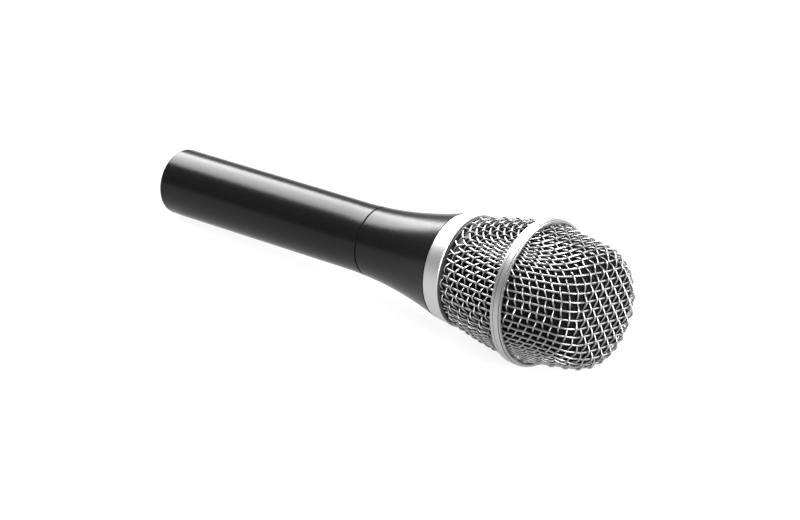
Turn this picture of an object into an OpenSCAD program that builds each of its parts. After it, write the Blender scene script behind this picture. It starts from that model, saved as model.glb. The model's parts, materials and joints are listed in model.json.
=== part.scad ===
// Handheld dynamic vocal microphone: handle and neck, screw-on wire-mesh grille,
// and a moving-coil cartridge on a rubber mount inside.
// The microphone lies along X. The tail face is at X = 0 and the grille points to +X.
// A profile is a list of [x, radius] points that turned() spins about the X axis.

/* [Overall] */
// Distance from the tail face to the front of the grille
mic_l = 186.3; // [185.8:0.1:187]

/* [Handle] */
// Radius of the straight barrel of the handle
handle_r = 11.87; // [11.7:0.01:12.1]
// Radius of the bore that holds the transformer
handle_bore_r = 10.1; // [9.9:0.1:10.2]
// Rounding of the tail edge
tail_round = 1; // [0.5:0.1:1.2]
// Where the straight barrel ends and the neck starts to flare
flare_x = 82; // [80:1:84]
// Where the handle ends at the seam
seam_x = 91.3; // [90:0.1:93]
// Width of the gasket in the seam
seam_w = 0.7; // [0.5:0.1:1]
// How far the seam gasket lies under the surface
seam_depth = 0.45; // [0.3:0.05:0.6]

/* [Connector] */
// Radius of the lead-in at the mouth of the connector socket
mouth_r = 9.6; // [9.55:0.05:9.8]
// Depth of the lead-in
mouth_l = 3; // [2:0.5:4]
// Radius of the connector socket
socket_r = 9.4; // [9.3:0.05:9.4]
// Depth of the socket, down to the face of the insert
socket_l = 17; // [16:0.5:18]
// Thickness of the connector insert
insert_l = 7; // [5:0.5:8]
// Radius of a contact pin in the socket
pin_r = 1.2; // [1.15:0.05:1.25]
// Radius of its shank, in the insert
pin_shank_r = 1; // [0.9:0.05:1.1]
// Where the tips of the contact pins are
pin_tip_x = 3.5; // [3.5:0.1:5]
// Radius of the circle that the contact pins stand on
pin_circle_r = 4.95; // [4.9:0.05:5]
// Radius of the grub screw that locks the insert
grub_r = 1.25; // [1:0.05:1.5]

/* [Neck] */
// Where the neck ends under the trim band
neck_end_x = 125; // [124:0.5:126]
// Radius of the neck under the trim band
neck_end_r = 18.15; // [17.9:0.05:18.3]
// Radius of the threaded stub that the grille screws on to
stub_r = 16; // [15.9:0.05:16.1]
// Length of the threaded stub
stub_l = 8.5; // [8:0.1:9]
// Bore of the stub, around the rubber mount
stub_bore_r = 14.3; // [14.1:0.1:14.5]

/* [Trim band] */
// Width of the trim band
band_w = 6.5; // [6:0.1:6.6]
// Radius of the band at its upper rim
band_rim_r = 19.15; // [19:0.05:19.3]
// Thickness of the rubber seal under the band
seal_t = 0.4; // [0.3:0.1:0.5]

/* [Grille] */
// Thickness of the woven mesh, two wires deep
mesh_t = 1.4; // [1.2:0.1:1.6]
// Radius of the lower mesh at the base ring
mesh_base_r = 18.75; // [18.6:0.05:18.9]
// Largest radius of the lower mesh, inside the middle ring
mesh_top_r = 23.58; // [23.4:0.02:23.6]
// How far the lower mesh bulges from a straight cone
mesh_bulge = 0.62; // [0.3:0.02:0.8]
// Outer radius of the middle ring
ring_r = 24.5; // [24.4:0.1:24.8]
// Lower edge of the middle ring
ring_x = 157.2; // [157:0.1:157.4]
// Width of the middle ring
ring_w = 3.8; // [3.6:0.1:4]
// Slope of the side of the upper mesh, in degrees
side_tilt = 8.3; // [7.9:0.1:8.3]
// Radius of the shoulder between the side and the rim of the front
front_shoulder_r = 10; // [9:0.1:11]
// Radius of the rim around the front of the grille
front_rim_r = 4.5; // [4.2:0.1:5]
// Slope of the surface where the shoulder meets the rim, in degrees
front_rim_tilt = 35; // [30:1:40]
// Slope of the crowned front where it meets the rim, in degrees
crown_tilt = 5; // [4:0.1:6]
// Radius of the flat front
front_r = 14.4; // [14:0.1:14.8]
// Thickness of the foam liner
foam_t = 2.2; // [1.5:0.1:2.4]

/* [Cartridge] */
// Outer radius of the cartridge
cartridge_r = 14.8; // [14.2:0.1:14.8]
// Outer radius of the stem that the rubber mount holds
stem_r = 10.6; // [10.4:0.1:10.7]
// Radius of the magnet
magnet_r = 7.6; // [7:0.1:7.8]
// Radius of the inner pole
pole_r = 8; // [7.9:0.02:8.05]
// Bore of the outer pole plate
plate_bore_r = 8.9; // [8.85:0.01:9]
// Outer radius of the voice coil
coil_r = 8.6; // [8.55:0.01:8.65]

/* [Hidden] */
$fn = 96;

// A running fit between a turning piece and its seat
run_gap = 0.05;
// A boolean cut passes this far through a face
cut = 0.1;

// Connector: where the contact pins stand on their circle, and the grub screw under the insert
pin_angles = [0, 180, 270];
grub_x = socket_l + insert_l / 2;
grub_in = 7;

// Neck: one arc that starts level with the barrel and ends at the trim band
flare_rise = neck_end_r - handle_r;
flare_l = neck_end_x - flare_x;
flare_r = (flare_l * flare_l + flare_rise * flare_rise) / (2 * flare_rise);
neck_x = seam_x + seam_w;
neck_bore_x = 118;
neck_bore_r = 13;
mount_x = neck_end_x + 1;
mount_l = 5;
retainer_t = 1.2;
stub_x = neck_end_x + stub_l;

// Coupling sleeve between handle and neck
sleeve_x = 82;
sleeve_end_x = 100;
sleeve_bore_r = 9;

// Trim band and grille base
band_x = neck_end_x + seal_t;
band_end_x = band_x + band_w;
band_foot_r = neck_end_r + 0.1;
base_r = stub_r + 0.94;
flange_x = band_end_x + 0.2;
flange_t = 0.6;
flange_r = 18.45;
mesh_x = flange_x + flange_t;
collar_l = 2.8;

// Middle ring: a band with a fine groove near each edge, and a web between the two meshes
web_x = ring_x + 1.3;
web_t = 1.2;
web_r = 22.15;
ring_bore_r = mesh_top_r + 0.07;
edge_r = ring_r - 0.15;
groove_r = ring_r - 0.4;
back_edge_w = 1;
front_edge_w = 0.4;
groove_w = 0.3;

// Front of the grille: a shallow sphere, a tight rim, a rounder shoulder and a conical side
crown_r = front_r / sin(crown_tilt);
rim_x = mic_l - crown_r + (crown_r - front_rim_r) * cos(crown_tilt);
rim_axis_r = (crown_r - front_rim_r) * sin(crown_tilt);
shoulder_axis_x = rim_x + (front_rim_r - front_shoulder_r) * cos(front_rim_tilt);
shoulder_axis_r = rim_axis_r + (front_rim_r - front_shoulder_r) * sin(front_rim_tilt);
foam_gap = 0.3;
foam_x = mesh_x + collar_l + 0.2;

// Cartridge
chamber_x = 104;
chamber_end_x = 122;
chamber_r = 9.8;
stem_x = 120;
shoulder_x = 134.8;
shoulder_t = 1.4;
case_wall = 1;
case_end_x = 160;
yoke_x = 140;
yoke_r = 12.6;
yoke_wall = 2;
yoke_floor = 2.5;
plate_x = 151.5;
plate_t = 3;
coil_t = 0.35;
dome_x = 157.2;
dome_rise = 3;
dome_t = 0.25;
clamp_x = 157.7;
cap_x = 158.7;
cap_end_x = 163.5;
cap_t = 1.2;
board_t = 1.4;
lug_l = 3;
lug_y = 4;

// Transformer: a laminated core with a wound bobbin on its middle leg
core_x = 46;
core_l = 20;
core_half_y = 8.2;
core_half_z = 4;
core_yoke = 2.5;
leg_half_y = 2;
window_y = 5.2;
bobbin_wall = 0.7;
bobbin_flange = 0.8;
wound_half_y = 4.9;
wound_half_z = 5.6;
cradle_x = 44;
cradle_l = 26;
cradle_bore_r = 9.3;

// Wires: radius of the insulation, and where they join the bobbin
lead_r = 0.5;
lead_sides = 8;
lead_z = 5;
pin_tail_x = 27;

function radius_at(x) = x < flare_x
    ? handle_r
    : handle_r + flare_r - sqrt(flare_r * flare_r - (x - flare_x) * (x - flare_x));

function flare_points(x0, x1, steps) =
    [for (i = [0 : steps]) let (x = x0 + (x1 - x0) * i / steps) [x, radius_at(x)]];

// The points of an arc about [cx, cr], from angle a0 to a1 measured from the radial direction
function arc_points(cx, cr, r, a0, a1, steps) =
    [for (i = [0 : steps]) let (a = a0 + (a1 - a0) * i / steps) [cx + r * sin(a), cr + r * cos(a)]];

function backwards(points) = [for (i = [len(points) - 1 : -1 : 0]) points[i]];

// A box section of a turned ring
function ring_section(x0, x1, r0, r1) = [[x0, r0], [x1, r0], [x1, r1], [x0, r1]];

// Upper mesh at a depth under its outer surface, from the middle ring to the axis
function upper_profile(x0, depth) =
    let (
        r = front_shoulder_r - depth,
        side_x = shoulder_axis_x + r * sin(side_tilt),
        side_r = shoulder_axis_r + r * cos(side_tilt),
        base = [x0, side_r + (side_x - x0) * tan(side_tilt)],
        shoulder = arc_points(shoulder_axis_x, shoulder_axis_r, r, side_tilt, 90 - front_rim_tilt, 8),
        rim = arc_points(rim_x, rim_axis_r, front_rim_r - depth, 90 - front_rim_tilt, 90 - crown_tilt, 5),
        crown = arc_points(mic_l - crown_r, 0, crown_r - depth, 90 - crown_tilt, 90, 4)
    )
    concat([base], shoulder, [for (i = [1 : 5]) rim[i]], [for (i = [1 : 4]) crown[i]]);

// Lower mesh at a depth under its outer surface, from the base ring to the middle ring
function lower_profile(x0, depth) =
    let (
        run = web_x - mesh_x,
        rise = mesh_top_r - mesh_base_r,
        chord = sqrt(run * run + rise * rise),
        arc_r = (chord * chord / 4 + mesh_bulge * mesh_bulge) / (2 * mesh_bulge),
        tilt = atan(rise / run),
        half = asin(chord / 2 / arc_r),
        cx = (mesh_x + web_x) / 2 + (arc_r - mesh_bulge) * sin(tilt),
        cr = (mesh_base_r + mesh_top_r) / 2 - (arc_r - mesh_bulge) * cos(tilt),
        r = arc_r - depth,
        start = asin((x0 - cx) / r)
    )
    arc_points(cx, cr, r, start, asin((web_x - cx) / r), 10);

module turned(profile) {
    rotate([0, 90, 0])
        rotate_extrude()
            polygon([for (p = profile) [p[1], p[0]]]);
}

// A plain cylinder along X
module rod(x0, x1, r) {
    translate([x0, 0, 0])
        rotate([0, 90, 0])
            cylinder(h = x1 - x0, r = r);
}

// A box along X that is centred on the axis in Y and Z
module bar(x0, x1, half_y, half_z) {
    translate([x0, -half_y, -half_z])
        cube([x1 - x0, 2 * half_y, 2 * half_z]);
}

// A wire through the points of a path that runs mainly along X
module lead(path) {
    rings = [for (p = path, i = [0 : lead_sides - 1])
        let (a = 360 * i / lead_sides)
        [p[0], p[1] + lead_r * cos(a), p[2] + lead_r * sin(a)]];
    last = (len(path) - 1) * lead_sides;
    sides = [for (k = [0 : len(path) - 2], i = [0 : lead_sides - 1])
        let (j = (i + 1) % lead_sides, base = k * lead_sides)
        [base + i, base + i + lead_sides, base + j + lead_sides, base + j]];
    first_cap = [for (i = [0 : lead_sides - 1]) i];
    last_cap = [for (i = [lead_sides - 1 : -1 : 0]) last + i];
    polyhedron(points = rings, faces = concat(sides, [first_cap, last_cap]));
}

// A wire between two ends that eases over from one to the other
module eased_lead(start, end) {
    steps = 12;
    lead([for (i = [0 : steps])
        let (t = i / steps, ease = (1 - cos(180 * t)) / 2)
        [start[0] + (end[0] - start[0]) * t,
            start[1] + (end[1] - start[1]) * ease,
            start[2] + (end[2] - start[2]) * ease]]);
}

module handle_tube() {
    latch_x = 7;
    latch_l = 3;
    latch_half_y = 2;
    latch_depth = 0.8;
    outer = concat(
        arc_points(tail_round, handle_r - tail_round, tail_round, -90, 0, 6),
        flare_points(flare_x, seam_x, 6));
    inner = [[seam_x, handle_bore_r], [socket_l + insert_l + 1, handle_bore_r],
        [socket_l + insert_l + 1, socket_r], [mouth_l, socket_r], [mouth_l, mouth_r], [0, mouth_r]];
    color([0.11, 0.11, 0.12])
        difference() {
            turned(concat(outer, inner));
            grub_hole();
            translate([latch_x, -latch_half_y, 0])
                cube([latch_l, 2 * latch_half_y, socket_r + latch_depth]);
        }
}

module seam_gasket() {
    color([0.02, 0.02, 0.02])
        turned(ring_section(seam_x, neck_x, handle_bore_r, radius_at(seam_x) - seam_depth));
}

module coupling_sleeve() {
    color([0.72, 0.62, 0.36])
        turned(ring_section(sleeve_x, sleeve_end_x, sleeve_bore_r, handle_bore_r));
}

module neck_housing() {
    chamfer = 0.4;
    outer = concat(
        flare_points(neck_x, neck_end_x, 20),
        [[neck_end_x, stub_r], [stub_x - chamfer, stub_r], [stub_x, stub_r - chamfer]]);
    inner = [[stub_x, stub_bore_r], [mount_x, stub_bore_r], [mount_x, neck_bore_r],
        [neck_bore_x, neck_bore_r], [sleeve_end_x, handle_bore_r], [neck_x, handle_bore_r]];
    color([0.11, 0.11, 0.12])
        turned(concat(outer, inner));
}

// A rubber ring with a thick rim outside and inside and a thin flexing web between
module shock_mount() {
    rim = 1.5;
    hub = 1.2;
    hub_inset = 0.5;
    web_half = 0.6;
    mid_x = mount_x + mount_l / 2;
    end_x = mount_x + mount_l;
    rim_r = stub_bore_r - rim;
    hub_r = stem_r + hub;
    color([0.16, 0.16, 0.16])
        turned([[mount_x, stub_bore_r], [mount_x, rim_r], [mid_x - web_half, rim_r],
            [mid_x - web_half, hub_r], [mount_x + hub_inset, hub_r], [mount_x + hub_inset, stem_r],
            [end_x - hub_inset, stem_r], [end_x - hub_inset, hub_r], [mid_x + web_half, hub_r],
            [mid_x + web_half, rim_r], [end_x, rim_r], [end_x, stub_bore_r]]);
}

module mount_retainer() {
    bore_r = 12.6;
    start_x = mount_x + mount_l;
    color([0.75, 0.75, 0.77])
        turned(ring_section(start_x, start_x + retainer_t, bore_r, stub_bore_r));
}

module transformer_cradle() {
    color([0.2, 0.2, 0.2])
        turned(ring_section(cradle_x, cradle_x + cradle_l, cradle_bore_r, handle_bore_r));
}

module transformer_core() {
    color([0.45, 0.46, 0.48])
        difference() {
            bar(core_x, core_x + core_l, core_half_y, core_half_z);
            for (side = [-1, 1])
                translate([core_x + core_yoke, side * (leg_half_y + window_y) / 2, 0])
                    translate([0, -(window_y - leg_half_y) / 2, -core_half_z - cut])
                        cube([core_l - 2 * core_yoke, window_y - leg_half_y, 2 * (core_half_z + cut)]);
        }
}

module transformer_bobbin() {
    start_x = core_x + core_yoke;
    end_x = core_x + core_l - core_yoke;
    color([0.85, 0.82, 0.7])
        difference() {
            union() {
                bar(start_x, end_x, leg_half_y + bobbin_wall, core_half_z + bobbin_wall);
                bar(start_x, start_x + bobbin_flange, wound_half_y, wound_half_z);
                bar(end_x - bobbin_flange, end_x, wound_half_y, wound_half_z);
            }
            bar(start_x - cut, end_x + cut, leg_half_y, core_half_z);
        }
}

module transformer_winding() {
    start_x = core_x + core_yoke + bobbin_flange;
    end_x = core_x + core_l - core_yoke - bobbin_flange;
    inset = 0.2;
    color([0.72, 0.38, 0.16])
        difference() {
            bar(start_x, end_x, wound_half_y - inset, wound_half_z - inset);
            bar(start_x - cut, end_x + cut, leg_half_y + bobbin_wall, core_half_z + bobbin_wall);
        }
}

// One wire for each contact pin, from its tail to the near flange of the bobbin
module output_leads() {
    spread = 3;
    end_x = core_x + core_yoke;
    color([0.75, 0.2, 0.15])
        for (i = [0 : 2]) {
            angle = pin_angles[i];
            eased_lead(
                [pin_tail_x, pin_circle_r * cos(angle), pin_circle_r * sin(angle)],
                [end_x, spread * (1 - i), lead_z]);
        }
}

// Two wires from the far flange of the bobbin to the lugs of the cartridge
module cartridge_leads() {
    start_x = core_x + core_l - core_yoke;
    end_x = chamber_x - board_t - lug_l;
    color([0.15, 0.3, 0.7])
        for (side = [-1, 1])
            eased_lead([start_x, side * lug_y / 2, lead_z], [end_x, side * lug_y, 0]);
}

// The insert that carries the contact pins, with a rib that keys the plug
module xlr_insert() {
    key_x = 8;
    key_half_y = 1.2;
    key_h = 1.2;
    color([0.08, 0.08, 0.09])
        difference() {
            union() {
                rod(socket_l, socket_l + insert_l, socket_r);
                intersection() {
                    translate([key_x, -key_half_y, -socket_r])
                        cube([socket_l - key_x, 2 * key_half_y, key_h]);
                    rod(key_x, socket_l, socket_r);
                }
            }
            for (angle = pin_angles)
                at_pin(angle)
                    rod(socket_l - cut, socket_l + insert_l + cut, pin_shank_r);
            grub_hole();
        }
}

module at_pin(angle) {
    translate([0, pin_circle_r * cos(angle), pin_circle_r * sin(angle)])
        children();
}

// A contact pin with a domed tip in the socket and a solder cup behind the insert. Its shoulder
// stops just short of the insert, which grips the thinner shank.
module contact_pin(angle) {
    pin_stop_x = socket_l - 0.2;
    cup_r = 0.7;
    cup_l = 2;
    color([0.8, 0.68, 0.35])
        at_pin(angle)
            turned(concat(
                arc_points(pin_tip_x + pin_r, 0, pin_r, -90, 0, 6),
                [[pin_stop_x, pin_r], [pin_stop_x, pin_shank_r], [pin_tail_x, pin_shank_r],
                    [pin_tail_x, cup_r], [pin_tail_x - cup_l, 0]]));
}

module xlr_pin_1() {
    contact_pin(pin_angles[0]);
}

module xlr_pin_2() {
    contact_pin(pin_angles[1]);
}

module xlr_pin_3() {
    contact_pin(pin_angles[2]);
}

// A spring strip from the first contact pin to the wall of the socket
module ground_tab() {
    tab_t = 0.5;
    tab_half_z = 1.5;
    start_x = socket_l + insert_l;
    color([0.78, 0.76, 0.7])
        intersection() {
            translate([start_x, pin_circle_r + pin_shank_r, -tab_half_z])
                cube([tab_t, socket_r, 2 * tab_half_z]);
            rod(start_x, start_x + tab_t, socket_r);
        }
}

// The hole that the grub screw fills, through the underside of the wall into the insert
module grub_hole() {
    translate([grub_x, 0, -handle_r - cut])
        cylinder(h = handle_r + cut - grub_in, r = grub_r);
}

module insert_screw() {
    sunk = 0.3;
    socket_af_r = 0.75;
    socket_depth = 1.6;
    color([0.1, 0.1, 0.1])
        difference() {
            translate([grub_x, 0, -handle_r + sunk])
                cylinder(h = handle_r - sunk - grub_in, r = grub_r);
            translate([grub_x, 0, -handle_r])
                cylinder(h = sunk + socket_depth, r = socket_af_r, $fn = 6);
        }
}

module grille_seal() {
    inset = 0.3;
    color([0.03, 0.03, 0.03])
        turned(ring_section(neck_end_x, band_x, stub_r + run_gap, neck_end_r - inset));
}

// A flared band with a fine raised lip at its upper rim
module trim_band() {
    lip_w = 0.5;
    lip_h = 0.12;
    bevel = 0.15;
    color([0.86, 0.86, 0.87])
        turned([[band_x, base_r + run_gap], [band_x, band_foot_r - bevel], [band_x + bevel, band_foot_r],
            [band_end_x - lip_w, band_rim_r - lip_h], [band_end_x - lip_w, band_rim_r],
            [band_end_x - bevel, band_rim_r], [band_end_x, band_rim_r - bevel],
            [band_end_x, base_r + run_gap]]);
}

// The threaded sleeve inside the band, the black flange above it and the collar in the mesh
module grille_base_ring() {
    collar_r = mesh_base_r - mesh_t - 0.15;
    foot_gap = 0.3;
    color([0.07, 0.07, 0.07])
        turned([[band_x + foot_gap, stub_r + run_gap], [band_x + foot_gap, base_r], [flange_x, base_r],
            [flange_x, flange_r], [mesh_x, flange_r], [mesh_x, collar_r],
            [mesh_x + collar_l, collar_r], [mesh_x + collar_l, stub_r + run_gap]]);
}

module mesh_lower() {
    color([0.7, 0.7, 0.71])
        turned(concat(lower_profile(mesh_x, 0), backwards(lower_profile(mesh_x, mesh_t))));
}

module mid_ring() {
    end_x = ring_x + ring_w;
    back_x = ring_x + back_edge_w;
    front_x = end_x - front_edge_w;
    outer = [[ring_x, edge_r], [back_x, edge_r], [back_x, groove_r], [back_x + groove_w, groove_r],
        [back_x + groove_w, ring_r], [front_x - groove_w, ring_r], [front_x - groove_w, groove_r],
        [front_x, groove_r], [front_x, edge_r], [end_x, edge_r]];
    inner = [[end_x, ring_bore_r], [web_x + web_t, ring_bore_r], [web_x + web_t, web_r],
        [web_x, web_r], [web_x, ring_bore_r], [ring_x, ring_bore_r]];
    color([0.78, 0.78, 0.8])
        turned(concat(outer, inner));
}

module mesh_upper() {
    start_x = web_x + web_t;
    color([0.7, 0.7, 0.71])
        turned(concat(upper_profile(start_x, 0), backwards(upper_profile(start_x, mesh_t))));
}

module foam_liner() {
    outer_depth = mesh_t + foam_gap;
    inner_depth = outer_depth + foam_t;
    start_x = web_x + web_t;
    color([0.06, 0.06, 0.06])
        turned(concat(
            lower_profile(foam_x, outer_depth), upper_profile(start_x, outer_depth),
            backwards(upper_profile(start_x, inner_depth)), backwards(lower_profile(foam_x, inner_depth))));
}

// The case: a stem that the rubber mount holds and a wider cup for the motor
module cartridge_housing() {
    top_x = shoulder_x + shoulder_t;
    case_bore_r = cartridge_r - case_wall;
    color([0.14, 0.14, 0.15])
        turned([[stem_x, chamber_r], [stem_x, stem_r], [shoulder_x, stem_r], [shoulder_x, cartridge_r],
            [case_end_x, cartridge_r], [case_end_x, case_bore_r], [top_x, case_bore_r],
            [top_x, chamber_r]]);
}

module air_chamber() {
    wall = 0.8;
    floor_t = 1;
    color([0.2, 0.2, 0.22])
        turned([[chamber_x, 0], [chamber_x, chamber_r], [chamber_end_x, chamber_r],
            [chamber_end_x, chamber_r - wall], [chamber_x + floor_t, chamber_r - wall],
            [chamber_x + floor_t, 0]]);
}

// The ring that carries the magnet yoke, with ports for the air behind the diaphragm
module yoke_support() {
    bore_r = 7;
    port_r = 1.3;
    ports = 8;
    port_circle_r = 11.8;
    start_x = shoulder_x + shoulder_t;
    color([0.25, 0.25, 0.27])
        difference() {
            turned(ring_section(start_x, yoke_x, bore_r, cartridge_r - case_wall));
            for (i = [0 : ports - 1])
                rotate([360 * i / ports, 0, 0])
                    translate([0, port_circle_r, 0])
                        rod(start_x - cut, yoke_x + cut, port_r);
        }
}

module magnet_yoke() {
    color([0.55, 0.56, 0.58])
        turned([[yoke_x, 0], [yoke_x, yoke_r], [plate_x, yoke_r], [plate_x, yoke_r - yoke_wall],
            [yoke_x + yoke_floor, yoke_r - yoke_wall], [yoke_x + yoke_floor, 0]]);
}

module magnet() {
    color([0.35, 0.35, 0.38])
        rod(yoke_x + yoke_floor, plate_x, magnet_r);
}

module pole_piece() {
    color([0.6, 0.61, 0.63])
        rod(plate_x, plate_x + plate_t, pole_r);
}

module top_plate() {
    color([0.6, 0.61, 0.63])
        turned(ring_section(plate_x, plate_x + plate_t, plate_bore_r, yoke_r));
}

module damping_felt() {
    felt_t = 0.6;
    edge = 0.3;
    start_x = plate_x + plate_t;
    color([0.85, 0.83, 0.76])
        turned(ring_section(start_x, start_x + felt_t, plate_bore_r + edge, yoke_r - edge));
}

module diaphragm_frame() {
    seat = 0.9;
    color([0.25, 0.25, 0.27])
        turned(ring_section(plate_x, dome_x - cut, cartridge_r - case_wall - seat, cartridge_r - case_wall));
}

module diaphragm_clamp() {
    seat = 1.3;
    color([0.75, 0.75, 0.77])
        turned(ring_section(clamp_x, cap_x, cartridge_r - case_wall - seat, cartridge_r - case_wall));
}

// The resonator cap, with a hole in the middle and two rings of holes
module front_cap() {
    wall = 1;
    hole_r = 1.2;
    middle_r = 1.6;
    hole_rings = [[6, 5], [12, 9.6]];
    step_r = cartridge_r - case_wall;
    color([0.14, 0.14, 0.15])
        difference() {
            turned([[cap_x, step_r - wall], [cap_x, step_r], [case_end_x, step_r], [case_end_x, cartridge_r],
                [cap_end_x, cartridge_r], [cap_end_x, 0], [cap_end_x - cap_t, 0],
                [cap_end_x - cap_t, step_r - wall]]);
            rod(cap_x, cap_end_x + cut, middle_r);
            for (holes = hole_rings, i = [0 : holes[0] - 1])
                rotate([360 * i / holes[0], 0, 0])
                    translate([0, holes[1], 0])
                        rod(cap_x, cap_end_x + cut, hole_r);
        }
}

module cap_screen() {
    screen_r = 12.5;
    screen_t = 0.3;
    color([0.5, 0.5, 0.52])
        rod(cap_end_x, cap_end_x + screen_t, screen_r);
}

module terminal_board() {
    board_r = 8.6;
    color([0.3, 0.42, 0.25])
        rod(chamber_x - board_t, chamber_x, board_r);
}

module cartridge_terminals() {
    lug_half_y = 0.9;
    lug_half_z = 0.3;
    start_x = chamber_x - board_t - lug_l;
    color([0.8, 0.78, 0.6])
        for (side = [-1, 1])
            translate([0, side * lug_y, 0])
                bar(start_x, start_x + lug_l, lug_half_y, lug_half_z);
}

// A thin spherical cap over the voice coil
module diaphragm_dome() {
    sphere_r = (coil_r * coil_r + dome_rise * dome_rise) / (2 * dome_rise);
    half = asin(coil_r / sphere_r);
    centre_x = dome_x + dome_rise - sphere_r;
    outer = arc_points(centre_x, 0, sphere_r, 90 - half, 90, 8);
    inner = arc_points(centre_x - dome_t, 0, sphere_r, 90 - half, 90, 8);
    color([0.75, 0.7, 0.5])
        turned(concat(outer, backwards(inner)));
}

module voice_coil() {
    coil_x = plate_x + 0.5;
    color([0.75, 0.42, 0.2])
        turned(ring_section(coil_x, dome_x - dome_t, coil_r - coil_t, coil_r));
}

// The thin corrugated rim between the dome and the clamp
module diaphragm_surround() {
    film = 0.25;
    wave = 0.45;
    waves = 4;
    steps = 16;
    edge = 1;
    outer_r = cartridge_r - case_wall;
    wave_end_r = outer_r - edge - 0.4;
    crest = [for (i = [0 : steps])
        let (t = i / steps)
        [dome_x + film + wave * (1 - cos(360 * waves * t)) / 2, coil_r + 0.02 + (wave_end_r - coil_r) * t]];
    color([0.78, 0.72, 0.52])
        turned(concat(
            crest, [[dome_x + film, outer_r], [dome_x, outer_r]],
            [for (p = backwards(crest)) [p[0] - film, p[1]]]));
}

handle_tube();
seam_gasket();
coupling_sleeve();
neck_housing();
shock_mount();
mount_retainer();
transformer_cradle();
transformer_core();
transformer_bobbin();
transformer_winding();
output_leads();
cartridge_leads();
xlr_insert();
xlr_pin_1();
xlr_pin_2();
xlr_pin_3();
ground_tab();
insert_screw();
grille_seal();
trim_band();
grille_base_ring();
mesh_lower();
mid_ring();
mesh_upper();
foam_liner();
cartridge_housing();
air_chamber();
yoke_support();
magnet_yoke();
magnet();
pole_piece();
top_plate();
damping_felt();
diaphragm_frame();
diaphragm_clamp();
front_cap();
cap_screen();
terminal_board();
cartridge_terminals();
diaphragm_dome();
voice_coil();
diaphragm_surround();
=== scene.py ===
import json
import math

import bmesh
import bpy
import numpy as np
from mathutils import Matrix, Vector, noise


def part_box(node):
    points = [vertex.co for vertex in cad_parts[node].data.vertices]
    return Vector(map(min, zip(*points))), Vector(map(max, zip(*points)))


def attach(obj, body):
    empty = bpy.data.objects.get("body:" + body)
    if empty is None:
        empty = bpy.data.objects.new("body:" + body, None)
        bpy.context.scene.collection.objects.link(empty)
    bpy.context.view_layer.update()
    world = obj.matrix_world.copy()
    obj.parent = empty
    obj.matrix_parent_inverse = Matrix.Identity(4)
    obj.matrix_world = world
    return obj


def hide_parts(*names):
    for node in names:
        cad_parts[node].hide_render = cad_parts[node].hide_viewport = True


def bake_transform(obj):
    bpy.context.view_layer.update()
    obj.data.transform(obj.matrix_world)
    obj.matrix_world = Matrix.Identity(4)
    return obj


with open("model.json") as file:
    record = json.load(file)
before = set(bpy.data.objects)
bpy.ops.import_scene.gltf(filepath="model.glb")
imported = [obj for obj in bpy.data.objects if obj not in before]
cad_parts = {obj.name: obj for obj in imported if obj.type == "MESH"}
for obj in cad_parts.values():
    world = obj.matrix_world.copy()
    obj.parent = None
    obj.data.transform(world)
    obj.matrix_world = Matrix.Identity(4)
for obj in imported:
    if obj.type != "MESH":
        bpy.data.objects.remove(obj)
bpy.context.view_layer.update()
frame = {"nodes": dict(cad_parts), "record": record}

MM = 0.001

# --- Camera: a long lens from the front right, a little above ---
CAMERA_AZIMUTH = 38.9
CAMERA_ELEVATION = 23.0
CAMERA_DISTANCE = 0.8316
CAMERA_RIGHT = 0.0788
CAMERA_UP = -0.0286
LENS_MM = 103.5
SENSOR_MM = 36

# --- Studio ---
WORLD_STRENGTH = 0.25
FLOOR_HALF = 6.0
FLOOR_GREY = 0.12
FLOOR_ROUGHNESS = 0.9
FLOOR_GLOW = 0.9
# Name, place, what it points at, size along X and Y, energy, and roll in degrees
LIGHTS = (
    ("back_softbox", (-0.52, 0.29, 0.76), (0.06, 0, 0), (0.84, 0.7), 38, 46),
    ("overhead", (0.15, 0.1, 0.9), (0.12, 0, 0), (0.7, 0.7), 3, 0),
    ("right_fill", (0.9, -0.3, 0.45), (0.15, 0, 0), (0.6, 0.6), 28, 0),
    ("back_right", (0.55, 0.75, 0.4), (0.17, 0, 0), (0.6, 0.6), 7, 0),
)

# --- Materials ---
NOISE_ROUGHNESS = 0.55
RAMP_START = 0.3
RAMP_END = 0.7
# How dark the darkest brush marks of turned metal are beside the lightest
BRUSH_SHADE = 0.92
# An edge between faces that meet at more than this stays sharp
SHARP_ANGLE = math.radians(25)

# --- Woven wire: for the two families, its thickness, how far it is crimped and its pitch ---
UPPER_WIRE = (0.67 * MM, 0.59 * MM)
LOWER_WIRE = (0.74 * MM, 0.54 * MM)
CRIMP = (0.07 * MM, 0.56 * MM)
UPPER_PITCH = (2.65 * MM, 2.85 * MM)
LOWER_PITCH = (2.65 * MM, 2.72 * MM)
UPPER_TURN = math.radians(170)
LOWER_TURN = math.radians(173)
NET_SLIP = 0.3
STEPS_PER_PITCH = 8
WIRE_SIDES = 8
SHORTEST_STRAND = 3
SHORTEST_RUN = 4

# --- Shape of the grille, as the CAD model has it ---
CROWN_TILT = math.radians(5)
RIM_TILT = math.radians(35)
SIDE_TILT = math.radians(8.3)
RIM_R = 4.5 * MM
SHOULDER_R = 10 * MM
FRONT_R = 14.4 * MM
LOWER_BULGE = 0.62 * MM
LOWER_BASE_R = 18.75 * MM
# The lower half was drawn as a cup with this corner, and its closed end was cut away
LOWER_CORNER_R = 3 * MM
# How far the net is laid past the edge that the wires are cut at
PAST_EDGE = 20 * MM

# How many points are matched to a profile at once, and the least radius they are divided by
MATCHED_AT_ONCE = 2000
SMALLEST_R = 1e-9

# --- Points along the parts of a profile ---
CROWN_POINTS = 200
RIM_POINTS = 50
SHOULDER_POINTS = 80
UPPER_SIDE_POINTS = 500
LOWER_FLOOR_POINTS = 200
LOWER_CORNER_POINTS = 60
LOWER_SIDE_POINTS = 300
PAST_EDGE_POINTS = 200

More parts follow.
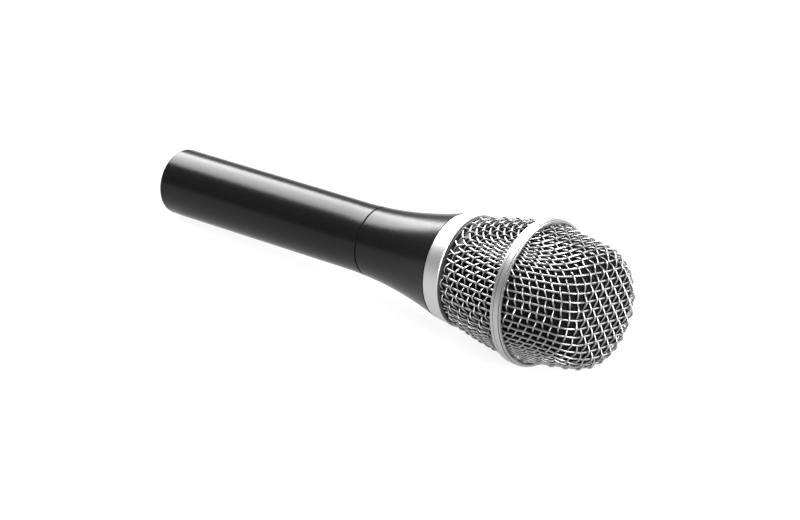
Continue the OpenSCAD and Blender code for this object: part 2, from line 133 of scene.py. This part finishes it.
# --- Search for a knot: steps that give its slope, how far it may move at once, when it ends ---
SLOPE_LENGTH = 1e-7
SLOPE_TURN = 1e-4
MOST_TURN = 0.1
MOST_PITCH = 0.4
FIRST_PITCH = 0.3
SEARCH_ROUNDS = 40
FOUND = 1e-6
ACCEPTED = 1e-3

# --- Parts that bend: the diaphragm's surround, made of sectors, and the cartridge's leads ---
SURROUND_SECTORS = 12
WELD_DISTANCE = 0.001 * MM
CUT_DISTANCE = 0.0001 * MM

# --- Open-cell foam behind the mesh, and the fine cloth over the cartridge's cap ---
FOAM_GRID = 0.7 * MM
FOAM_CELL = 1.1 * MM
FOAM_RELIEF = 0.25 * MM
CLOTH_PITCH = 0.8 * MM
CLOTH_RELIEF = 0.08 * MM
CLOTH_RINGS = 62
CLOTH_SPOKES = 240
CLOTH_SHARP_ANGLE = math.radians(60)


def add_object(name, data):
    obj = bpy.data.objects.new(name, data)
    bpy.context.scene.collection.objects.link(obj)
    return obj


# ------------------------------------------------------------- materials
def new_material(name):
    mat = bpy.data.materials.new(name)
    mat.use_nodes = True
    return mat, mat.node_tree.nodes, mat.node_tree.links, mat.node_tree.nodes["Principled BSDF"]


def set_inputs(node, **values):
    for key, value in values.items():
        node.inputs[key.replace("_", " ")].default_value = value


def add_noise(nodes, links, scale, detail, stretch):
    """A noise texture in metres. A stretch under 1 lengthens it along that axis."""
    coord = nodes.new("ShaderNodeTexCoord")
    mapping = nodes.new("ShaderNodeMapping")
    mapping.inputs["Scale"].default_value = stretch
    texture = nodes.new("ShaderNodeTexNoise")
    set_inputs(texture, Scale=scale, Detail=detail, Roughness=NOISE_ROUGHNESS)
    links.new(coord.outputs["Object"], mapping.inputs["Vector"])
    links.new(mapping.outputs["Vector"], texture.inputs["Vector"])
    return texture


def ramp(nodes, links, source, low, high):
    """Maps a 0 to 1 value to a colour between low and high."""
    node = nodes.new("ShaderNodeValToRGB")
    node.color_ramp.elements[0].position = RAMP_START
    node.color_ramp.elements[1].position = RAMP_END
    node.color_ramp.elements[0].color = (*low, 1)
    node.color_ramp.elements[1].color = (*high, 1)
    links.new(source, node.inputs["Fac"])
    return node.outputs["Color"]


def map_range(nodes, links, source, low, high):
    node = nodes.new("ShaderNodeMapRange")
    node.inputs["To Min"].default_value = low
    node.inputs["To Max"].default_value = high
    links.new(source, node.inputs["Value"])
    return node.outputs["Result"]


def add_bump(nodes, links, shader, source, strength, distance):
    bump = nodes.new("ShaderNodeBump")
    set_inputs(bump, Strength=strength, Distance=distance)
    links.new(source, bump.inputs["Height"])
    links.new(bump.outputs["Normal"], shader.inputs["Normal"])


def surface(name, low, high, rough=(0.4, 0.5), metallic=0.0, scale=900, bump=0.15,
            depth=0.02 * MM, detail=4.0, stretch=(1, 1, 1), **extra):
    """A material whose colour and roughness vary a little with noise, with a fine bump."""
    mat, nodes, links, shader = new_material(name)
    texture = add_noise(nodes, links, scale, detail, stretch)
    value = texture.outputs["Fac"]
    links.new(ramp(nodes, links, value, low, high), shader.inputs["Base Color"])
    links.new(map_range(nodes, links, value, *rough), shader.inputs["Roughness"])
    add_bump(nodes, links, shader, value, bump, depth)
    set_inputs(shader, Metallic=metallic, **extra)
    return mat


def grey(value, tint=0.0):
    return (value, value, value * (1 + tint))


def brushed(name, value, rough=(0.26, 0.36)):
    """Turned metal: the marks run round the axis, so the noise is fine along X only."""
    return surface(name, grey(value * BRUSH_SHADE), grey(value), rough, metallic=1.0, scale=700,
                   bump=0.12, depth=0.01 * MM, stretch=(6, 0.5, 0.5))


def make_materials():
    """The materials of the record's slots, by slot."""
    return {
        "handle_enamel": surface(
            "black_enamel", grey(0.003, 0.05), grey(0.005, 0.05), (0.2, 0.27), scale=1500,
            bump=0.6, depth=0.04 * MM, detail=3, Specular_IOR_Level=0.14),
        "black_rubber": surface(
            "black_rubber", grey(0.006), grey(0.012), (0.6, 0.8), scale=3000),
        "mount_rubber": surface(
            "mount_rubber", grey(0.02), grey(0.035), (0.6, 0.75), scale=2500),
        "turned_brass": surface(
            "turned_brass", (0.62, 0.45, 0.2), (0.75, 0.56, 0.28), (0.25, 0.4), metallic=1.0,
            stretch=(6, 1, 1)),
        "plated_steel": brushed("plated_steel", 0.6),
        "core_steel": surface(
            "core_steel", grey(0.18), grey(0.34), (0.4, 0.55), metallic=1.0, scale=1500,
            stretch=(0.2, 0.2, 3)),
        "bobbin_plastic": surface("bobbin_plastic", (0.62, 0.56, 0.4), (0.72, 0.66, 0.5)),
        "copper_winding": surface(
            "copper_winding", (0.42, 0.14, 0.05), (0.68, 0.3, 0.12), (0.3, 0.45), metallic=0.8,
            scale=4000, bump=0.4, stretch=(3, 0.3, 0.3)),
        "red_wire": surface("red_wire", (0.42, 0.02, 0.02), (0.55, 0.04, 0.03)),
        "blue_wire": surface("blue_wire", (0.02, 0.06, 0.32), (0.03, 0.09, 0.42)),
        "black_plastic": surface(
            "black_plastic", grey(0.012), grey(0.02), (0.42, 0.55), scale=3500),
        "grey_plastic": surface(
            "grey_plastic", grey(0.06), grey(0.09), (0.42, 0.55), scale=3000),
        "contact_plating": surface(
            "contact_plating", (0.62, 0.48, 0.24), (0.8, 0.65, 0.38), (0.18, 0.28),
            metallic=1.0),
        "black_screw": surface(
            "black_screw", grey(0.01), grey(0.03), (0.3, 0.45), metallic=0.6),
        "trim_silver": surface(
            "trim_silver", grey(0.43), grey(0.48), (0.42, 0.5), metallic=1.0, scale=4200,
            bump=0.2, depth=0.01 * MM),
        "base_black": surface(
            "base_black", grey(0.006), grey(0.01), (0.45, 0.6), scale=3000),
        "mesh_wire": surface(
            "mesh_wire", grey(0.25), grey(0.35), (0.28, 0.38), metallic=1.0, scale=1600,
            bump=0.1, depth=0.01 * MM),
        "ring_silver": brushed("ring_silver", 0.38, (0.42, 0.5)),
        "liner_foam": surface(
            "liner_foam", grey(0.002), grey(0.008), (0.9, 1.0), scale=1800, bump=0.8,
            depth=0.2 * MM, detail=6, Specular_IOR_Level=0.03),
        "magnet_grey": surface(
            "magnet_grey", grey(0.14), grey(0.24), (0.4, 0.6), metallic=1.0),
        "felt": surface(
            "felt", (0.6, 0.57, 0.48), (0.75, 0.72, 0.62), (0.9, 1.0), scale=2600, bump=0.6,
            depth=0.1 * MM),
        "screen_cloth": surface(
            "screen_cloth", grey(0.16), grey(0.34), (0.7, 0.9), scale=5200, bump=0.6,
            depth=0.05 * MM),
        "board_green": surface(
            "board_green", (0.03, 0.1, 0.05), (0.05, 0.17, 0.08), (0.3, 0.4)),
        "diaphragm_film": surface(
            "diaphragm_film", (0.5, 0.4, 0.2), (0.66, 0.56, 0.34), (0.15, 0.25), scale=500),
    }


# ------------------------------------------------------------- profiles
def arc(cx, cr, r, start, end, count):
    angles = np.linspace(start, end, count)
    return np.column_stack([cx + r * np.sin(angles), cr + r * np.cos(angles)])


def line(start, end, count):
    t = np.linspace(0, 1, count)[:, None]
    return np.asarray(start) * (1 - t) + np.asarray(end) * t


class Profile:
    """A turned surface: points [x, radius] from the axis outwards, with normals and arc length."""

    def __init__(self, points):
        self.points = points
        steps = np.hypot(*np.diff(points, axis=0).T)
        self.length = np.concatenate([[0], np.cumsum(steps)])
        along = np.gradient(points, self.length, axis=0)
        along /= np.linalg.norm(along, axis=1)[:, None]
        self.normal = np.column_stack([along[:, 1], -along[:, 0]])
        self.normal *= np.sign(self.normal[-1, 1])

    def at(self, length, turn):
        x = np.interp(length, self.length, self.points[:, 0])
        r = np.interp(length, self.length, self.points[:, 1])
        return np.array([x, r * math.cos(turn), r * math.sin(turn)])

    def nearest(self, xyz):
        """Puts points on the surface: returns them and the surface's normals there."""
        radius = np.hypot(xyz[:, 1], xyz[:, 2])
        flat = np.column_stack([xyz[:, 0], radius])
        index = np.concatenate([
            np.argmin(((chunk[:, None] - self.points[None]) ** 2).sum(2), axis=1)
            for chunk in np.array_split(flat, max(1, len(flat) // MATCHED_AT_ONCE))])
        unit = xyz[:, 1:] / np.maximum(radius, SMALLEST_R)[:, None]
        offset = ((flat - self.points[index]) * self.normal[index]).sum(1)
        flat = flat - offset[:, None] * self.normal[index]
        on = np.column_stack([flat[:, 0], unit * flat[:, 1:]])
        return on, np.column_stack([self.normal[index, 0], unit * self.normal[index, 1:]])


def upper_profile(depth, front_x, base_x):
    """The upper cup at a depth under its outer surface, from the front's middle to its base."""
    quarter = math.pi / 2
    crown_r = FRONT_R / math.sin(CROWN_TILT)
    rim_axis = (front_x - crown_r + (crown_r - RIM_R) * math.cos(CROWN_TILT),
                (crown_r - RIM_R) * math.sin(CROWN_TILT))
    shoulder_axis = (rim_axis[0] + (RIM_R - SHOULDER_R) * math.cos(RIM_TILT),
                     rim_axis[1] + (RIM_R - SHOULDER_R) * math.sin(RIM_TILT))
    crown = arc(front_x - crown_r, 0, crown_r - depth, quarter, quarter - CROWN_TILT,
                CROWN_POINTS)
    rim = arc(*rim_axis, RIM_R - depth, quarter - CROWN_TILT, quarter - RIM_TILT, RIM_POINTS)
    shoulder = arc(*shoulder_axis, SHOULDER_R - depth, quarter - RIM_TILT, SIDE_TILT,
                   SHOULDER_POINTS)
    foot = shoulder[-1]
    base = [base_x, foot[1] + (foot[0] - base_x) * math.tan(SIDE_TILT)]
    side = line(foot, base, UPPER_SIDE_POINTS)
    return Profile(np.vstack([crown, rim[1:], shoulder[1:], side[1:]]))


def lower_profile(depth, base, top):
    """The lower cup at a depth under its outer surface, from its closed end to past its top."""
    base, top = np.array(base), np.array(top)
    chord = top - base
    half = np.linalg.norm(chord) / 2
    radius = (half * half + LOWER_BULGE * LOWER_BULGE) / (2 * LOWER_BULGE)
    outward = np.array([-chord[1], chord[0]]) / (2 * half)
    centre = (base + top) / 2 - outward * (radius - LOWER_BULGE)
    start = math.atan2(base[0] - centre[0], base[1] - centre[1])
    end = math.atan2(top[0] - centre[0], top[1] - centre[1])
    side = arc(*centre, radius - depth, start, end, LOWER_SIDE_POINTS)
    last = side[-1] - side[-2]
    tip = side[-1] + last / np.linalg.norm(last) * PAST_EDGE
    corner_r = LOWER_CORNER_R - depth
    corner_centre = side[0] - corner_r * np.array([math.sin(start), math.cos(start)])
    corner = arc(*corner_centre, corner_r, -math.pi / 2, start, LOWER_CORNER_POINTS)
    floor = line([corner[0][0], 0], corner[0], LOWER_FLOOR_POINTS)
    beyond = line(side[-1], tip, PAST_EDGE_POINTS)
    return Profile(np.vstack([floor, corner[1:], side[1:], beyond[1:]]))


# ------------------------------------------------------------- wire mesh
def find_knot(profile, pitch, net, i, j):
    """The arc length and turn of the knot one pitch from its two neighbours, or None."""
    a, b, o = (profile.at(*net[k]) for k in ((i - 1, j), (i, j - 1), (i - 1, j - 1)))
    guess = a + b - o
    state = np.array([max(net[i - 1, j][0], net[i, j - 1][0]) + FIRST_PITCH * pitch[0],
                      math.atan2(guess[2], guess[1])])
    most = np.array([MOST_PITCH * pitch[0], MOST_TURN])

    def miss(length, turn):
        place = profile.at(length, turn)
        return np.array([(place - a) @ (place - a) - pitch[0] ** 2,
                         (place - b) @ (place - b) - pitch[1] ** 2])

    for _ in range(SEARCH_ROUNDS):
        error = miss(*state)
        if np.abs(error).max() < FOUND * pitch[0] ** 2:
            break
        slope = np.column_stack([miss(state[0] + SLOPE_LENGTH, state[1]) - error,
                                 miss(state[0], state[1] + SLOPE_TURN) - error])
        slope /= [SLOPE_LENGTH, SLOPE_TURN]
        state = state + np.clip(np.linalg.lstsq(slope, -error, rcond=None)[0], -most, most)
    if state[0] < profile.length[-1] and np.abs(miss(*state)).max() < ACCEPTED * pitch[0] ** 2:
        return tuple(state)
    return None


def drape(profile, pitch):
    """A net laid over one quarter of the surface, as {(i, j): (arc length, turn)}.

    Each knot lies one pitch from its two neighbours. A drawn wire mesh slips and can't shear as
    far as a free net, so each knot is then moved part of the way to where a plain radial map
    has it.
    """
    count = [int(profile.length[-1] / p) for p in pitch]
    net = {(0, 0): (0.0, 0.0)}
    net.update({(i, 0): (i * pitch[0], 0.0) for i in range(1, count[0] + 1)})
    net.update({(0, j): (j * pitch[1], math.pi / 2) for j in range(1, count[1] + 1)})
    for total in range(2, sum(count) + 1):
        for i in range(max(1, total - count[1]), min(count[0], total - 1) + 1):
            j = total - i
            if (i - 1, j) in net and (i, j - 1) in net:
                found = find_knot(profile, pitch, net, i, j)
                if found:
                    net[i, j] = found
    slipped = {}
    for (i, j), (length, turn) in net.items():
        radial = math.hypot(i * pitch[0], j * pitch[1])
        straight = math.atan2(j * pitch[1], i * pitch[0])
        slipped[i, j] = (length + (radial - length) * NET_SLIP,
                         turn + (straight - turn) * NET_SLIP)
    return slipped


def knot(net, i, j):
    """The knot of the whole net, found by mirroring the quarter that was draped."""
    if (abs(i), abs(j)) not in net:
        return None
    length, turn = net[abs(i), abs(j)]
    if i < 0:
        turn = math.pi - turn
    return (length, -turn) if j < 0 else (length, turn)


def spline(points, steps):
    """Catmull-Rom through the points, with steps samples for each span, and their parameters."""
    ends = np.vstack([2 * points[0] - points[1], points, 2 * points[-1] - points[-2]])
    t = np.arange(steps) / steps
    basis = np.column_stack([-t + 2 * t ** 2 - t ** 3, 2 - 5 * t ** 2 + 3 * t ** 3,
                             t + 4 * t ** 2 - 3 * t ** 3, -t ** 2 + t ** 3]) / 2
    spans = [basis @ ends[k:k + 4] for k in range(len(points) - 1)]
    where = np.concatenate([k + t for k in range(len(points) - 1)] + [[len(points) - 1]])
    return np.vstack(spans + [points[-1:]]), where


def tube(points, normals, radius):
    """A closed tube along the points. The normals only keep its sides from twisting."""
    tangent = np.gradient(points, axis=0)
    tangent /= np.linalg.norm(tangent, axis=1)[:, None]
    side = np.cross(tangent, normals)
    side /= np.linalg.norm(side, axis=1)[:, None]
    up = np.cross(side, tangent)
    ring = np.arange(WIRE_SIDES)
    angles = 2 * np.pi * ring / WIRE_SIDES
    verts = points[:, None] + radius * (np.cos(angles)[None, :, None] * side[:, None]
                                        + np.sin(angles)[None, :, None] * up[:, None])
    after = (ring + 1) % WIRE_SIDES
    starts = (np.arange(len(points) - 1) * WIRE_SIDES)[:, None]
    quads = np.stack([starts + ring, starts + WIRE_SIDES + ring,
                      starts + WIRE_SIDES + after, starts + after], axis=2)
    last = (len(points) - 1) * WIRE_SIDES
    caps = [list(ring), list(last + ring[::-1])]
    return verts.reshape(-1, 3), quads.reshape(-1, 4), caps


def runs(mask):
    """Start and end of each unbroken run of true values that is long enough."""
    edges = np.flatnonzero(np.diff(np.concatenate([[0], mask.astype(int), [0]])))
    return [(a, b) for a, b in zip(edges[::2], edges[1::2]) if b - a >= SHORTEST_RUN]


def strands(profile, net, family):
    """Each unbroken wire of a family: its number, its first knot's number and its knots."""
    count = max(max(key) for key in net)
    for j in range(-count, count + 1):
        points, places = [], []
        for i in range(-count, count + 1):
            at = knot(net, i, j) if family == 0 else knot(net, j, i)
            if at is not None:
                points.append(profile.at(*at))
                places.append(i)
        gaps = np.flatnonzero(np.diff(places) > 1) + 1
        for piece in np.split(np.arange(len(places)), gaps):
            if len(piece) >= SHORTEST_STRAND:
                yield j, places[piece[0]], np.array(points)[piece]


def weave(name, profile, pitch, wire, turn, low_x, high_x):
    """All the wires of one half of the grille, as one mesh of closed crimped tubes."""
    net = drape(profile, pitch)
    verts, faces, size = [], [], 0
    for family in (0, 1):
        for j, start, points in strands(profile, net, family):
            samples, where = spline(points, STEPS_PER_PITCH)
            on, normal = profile.nearest(samples)
            parity = (-1) ** (start + j + family)
            lift = parity * np.cos(np.pi * where) * CRIMP[family]
            crimped = on + normal * lift[:, None]
            for a, b in runs((on[:, 0] >= low_x) & (on[:, 0] <= high_x)):
                new_verts, quads, caps = tube(crimped[a:b], normal[a:b], wire[family] / 2)
                verts.append(new_verts)
                faces += (quads + size).tolist()
                faces += [[index + size for index in cap] for cap in caps]
                size += len(new_verts)
    spin = np.array(Matrix.Rotation(turn, 3, "X"))
    mesh = bpy.data.meshes.new(name)
    mesh.from_pydata((np.vstack(verts) @ spin.T).tolist(), [], faces)
    mesh.shade_smooth()
    return add_object(name, mesh)


def build_meshes(materials):
    """Both halves of the grille in woven wire. They ride on the grille in place of the shells."""
    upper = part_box("mesh_upper")
    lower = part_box("mesh_lower")
    depth = CRIMP[1] + UPPER_WIRE[1] / 2
    cup = upper_profile(depth, upper[1].x, upper[0].x - PAST_EDGE)
    top = weave("wire_mesh_upper", cup, UPPER_PITCH, UPPER_WIRE, UPPER_TURN,
                upper[0].x, upper[1].x)
    cone = lower_profile(depth, (lower[0].x, LOWER_BASE_R), (lower[1].x, lower[1].y))
    bottom = weave("wire_mesh_lower", cone, LOWER_PITCH, LOWER_WIRE, LOWER_TURN,
                   lower[0].x, lower[1].x)
    for piece, node in ((top, "mesh_upper"), (bottom, "mesh_lower")):
        piece.data.materials.append(materials["mesh_wire"])
        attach(piece, "grille")
        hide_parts(node)


# ------------------------------------------------------------- parts that bend
def node_piece(node, name, slot, materials):
    """A copy of a CAD node that may change shape, in the node's own place and finish."""
    source = frame["nodes"][node]
    mesh = source.data.copy()
    mesh.transform(source.matrix_world)
    mesh.materials.clear()
    mesh.materials.append(materials[slot])
    obj = add_object(name, mesh)
    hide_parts(node)
    return obj


def cut_to_sector(mesh, start, end):
    """Keeps the part of a turned mesh between two angles round the X axis, and closes it."""
    bm = bmesh.new()
    bm.from_mesh(mesh)
    bmesh.ops.remove_doubles(bm, verts=bm.verts[:], dist=WELD_DISTANCE)
    for angle, side in ((start, 1), (end, -1)):
        cut = bmesh.ops.bisect_plane(
            bm, geom=bm.verts[:] + bm.edges[:] + bm.faces[:], dist=CUT_DISTANCE,
            plane_co=(0, 0, 0), plane_no=(0, side * math.sin(angle), -side * math.cos(angle)),
            clear_outer=True)
        loop = [e for e in cut["geom_cut"] if isinstance(e, bmesh.types.BMEdge)]
        bmesh.ops.edgeloop_fill(bm, edges=loop)
    bmesh.ops.recalc_face_normals(bm, faces=bm.faces[:])
    bm.to_mesh(mesh)
    bm.free()
    mesh.set_sharp_from_angle(angle=SHARP_ANGLE)


def build_flexing_parts(materials):
    """The diaphragm's surround, cut into sectors, and a copy of the cartridge's leads, as pieces of
    their own.
    """
    width = 2 * math.pi / SURROUND_SECTORS
    for k in range(SURROUND_SECTORS):
        sector = node_piece("diaphragm_surround", f"surround_sector_{k + 1}", "diaphragm_film",
                            materials)
        cut_to_sector(sector.data, (k - 0.5) * width, (k + 0.5) * width)
        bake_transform(sector)
    leads = node_piece("cartridge_leads", "cartridge_leads_flexing", "blue_wire", materials)
    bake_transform(leads)


# ------------------------------------------------------------- foam and cloth
def build_foam(materials):
    """The liner as open-cell foam, dimpled inwards from the CAD solid's surface."""
    piece = node_piece("foam_liner", "foam_liner_cells", "liner_foam", materials)
    grid = piece.modifiers.new("grid", "REMESH")
    grid.mode = "VOXEL"
    grid.voxel_size = FOAM_GRID
    graph = bpy.context.evaluated_depsgraph_get()
    mesh = bpy.data.meshes.new_from_object(piece.evaluated_get(graph))
    piece.modifiers.clear()
    piece.data = mesh
    points, normals = (np.empty(len(mesh.vertices) * 3) for _ in range(2))
    mesh.vertices.foreach_get("co", points)
    mesh.vertices.foreach_get("normal", normals)
    points, normals = points.reshape(-1, 3), normals.reshape(-1, 3)
    dimple = np.array([0.5 + 0.5 * noise.noise(point / FOAM_CELL) for point in points])
    points -= normals * (FOAM_RELIEF * np.clip(dimple, 0, 1))[:, None]
    mesh.vertices.foreach_set("co", points.ravel())
    mesh.shade_smooth()
    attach(piece, "grille")


def build_cap_cloth(materials):
    """The cloth disc over the cap, with its weave standing up to the CAD solid's face."""
    low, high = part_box("cap_screen")
    radius = high.y
    r = radius * np.arange(1, CLOTH_RINGS + 1)[:, None] / CLOTH_RINGS
    turn = 2 * np.pi * np.arange(CLOTH_SPOKES)[None] / CLOTH_SPOKES
    y, z = (r * np.cos(turn)).ravel(), (r * np.sin(turn)).ravel()
    threads = np.sin(np.pi * y / CLOTH_PITCH) * np.sin(np.pi * z / CLOTH_PITCH)
    front = np.column_stack([high.x - CLOTH_RELIEF * (1 - threads) / 2, y, z])
    back = np.column_stack([np.full(CLOTH_SPOKES, low.x), y[-CLOTH_SPOKES:], z[-CLOTH_SPOKES:]])
    middles = [[high.x - CLOTH_RELIEF / 2, 0, 0], [low.x, 0, 0]]
    verts = np.vstack([front, back, middles])
    front_middle, back_middle = len(verts) - 2, len(verts) - 1
    back_start = CLOTH_RINGS * CLOTH_SPOKES
    faces = []
    for k in range(CLOTH_SPOKES):
        after = (k + 1) % CLOTH_SPOKES
        faces.append((front_middle, k, after))
        for ring in range(CLOTH_RINGS):
            inner, outer = ring * CLOTH_SPOKES, (ring + 1) * CLOTH_SPOKES
            faces.append((inner + k, outer + k, outer + after, inner + after))
        faces.append((back_middle, back_start + after, back_start + k))
    mesh = bpy.data.meshes.new("cap_cloth")
    mesh.from_pydata(verts.tolist(), [], faces)
    mesh.materials.append(materials["screen_cloth"])
    mesh.shade_smooth()
    mesh.set_sharp_from_angle(angle=CLOTH_SHARP_ANGLE)
    piece = add_object("cap_cloth", mesh)
    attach(piece, "cartridge")
    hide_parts("cap_screen")


# ------------------------------------------------------------- the other CAD nodes
def dress_cad_nodes(materials):
    slots = {s["node"]: s["material_slot"] for s in frame["record"]["subparts"]}
    for node, obj in frame["nodes"].items():
        obj.data.materials.clear()
        obj.data.materials.append(materials[slots[node]])
        obj.data.shade_smooth()
        obj.data.set_sharp_from_angle(angle=SHARP_ANGLE)


# ------------------------------------------------------------- stage
def add_floor(tail, ring):
    """A pale floor that touches the microphone where it rests: at the tail and at the ring."""
    rest_tail = Vector((tail[0].x, 0, tail[0].z))
    rest_ring = Vector(((ring[0].x + ring[1].x) / 2, 0, ring[0].z))
    slope = math.atan2(rest_tail.z - rest_ring.z, rest_ring.x - rest_tail.x)
    mesh = bpy.data.meshes.new("floor")
    corners = [(x * FLOOR_HALF, y * FLOOR_HALF, 0) for x, y in ((-1, -1), (1, -1), (1, 1), (-1, 1))]
    mesh.from_pydata(corners, [], [(0, 1, 2, 3)])
    obj = add_object("floor", mesh)
    obj.rotation_euler = (0, slope, 0)
    obj.location = rest_ring
    mat, _, _, shader = new_material("floor_white")
    set_inputs(shader, Base_Color=(*grey(FLOOR_GREY), 1), Roughness=FLOOR_ROUGHNESS,
               Specular_IOR_Level=0.0, Emission_Color=(1, 1, 1, 1), Emission_Strength=FLOOR_GLOW)
    mesh.materials.append(mat)


def set_world():
    world = bpy.data.worlds.new("studio")
    world.use_nodes = True
    background = world.node_tree.nodes["Background"]
    background.inputs["Color"].default_value = (1, 1, 1, 1)
    background.inputs["Strength"].default_value = WORLD_STRENGTH
    bpy.context.scene.world = world


def add_light(name, location, target, size, energy, roll):
    data = bpy.data.lights.new(name, "AREA")
    data.energy = energy
    data.shape = "RECTANGLE"
    data.size, data.size_y = size
    obj = add_object(name, data)
    obj.location = location
    aim = (Vector(target) - Vector(location)).to_track_quat("-Z", "Y").to_matrix()
    obj.rotation_euler = (aim @ Matrix.Rotation(math.radians(roll), 3, "Z")).to_euler()


def add_camera():
    a, e = math.radians(CAMERA_AZIMUTH), math.radians(CAMERA_ELEVATION)
    right = Vector((math.cos(a), math.sin(a), 0))
    back = Vector((math.sin(a) * math.cos(e), -math.cos(a) * math.cos(e), math.sin(e)))
    up = back.cross(right)
    data = bpy.data.cameras.new("camera")
    data.lens = LENS_MM
    data.sensor_width = SENSOR_MM
    obj = add_object("camera", data)
    obj.matrix_world = Matrix.Translation(
        right * CAMERA_RIGHT + up * CAMERA_UP + back * CAMERA_DISTANCE
    ) @ Matrix((right, up, back)).transposed().to_4x4()
    bpy.context.scene.camera = obj


materials = make_materials()
dress_cad_nodes(materials)
build_meshes(materials)
build_flexing_parts(materials)
build_foam(materials)
build_cap_cloth(materials)
add_floor(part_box("handle_tube"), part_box("mid_ring"))
set_world()
for light in LIGHTS:
    add_light(*light)
add_camera()
bpy.context.scene.view_settings.view_transform = "Standard"
